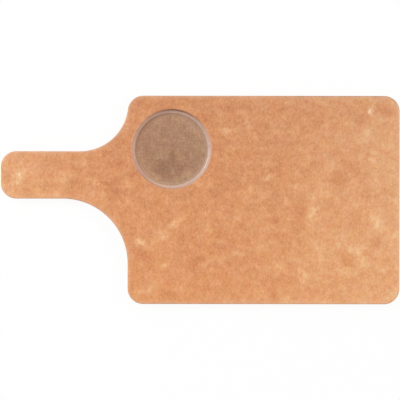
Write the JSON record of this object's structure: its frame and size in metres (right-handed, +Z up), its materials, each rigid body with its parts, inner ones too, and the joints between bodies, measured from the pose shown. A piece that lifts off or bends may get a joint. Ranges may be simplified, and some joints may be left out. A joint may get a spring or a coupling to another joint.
{
  "type": "bread board",
  "caption": "Flat paddle-shaped bread board with an offset handle blended in by sweeps, eased rims and a round flat-bottomed well for a small dip dish.",
  "frame": {"origin": "middle of the board's bounding box in plan, on the underside that it lies on", "axes": "+X from the handle towards the far end, +Y across the board towards the side with the well, +Z up out of the work face"},
  "size_m": [0.358, 0.187, 0.0095],
  "materials": {
    "composite_face": "matte"
  },
  "bodies": {
    "root": {"board": "composite_face"}
  },
  "joints": []
}
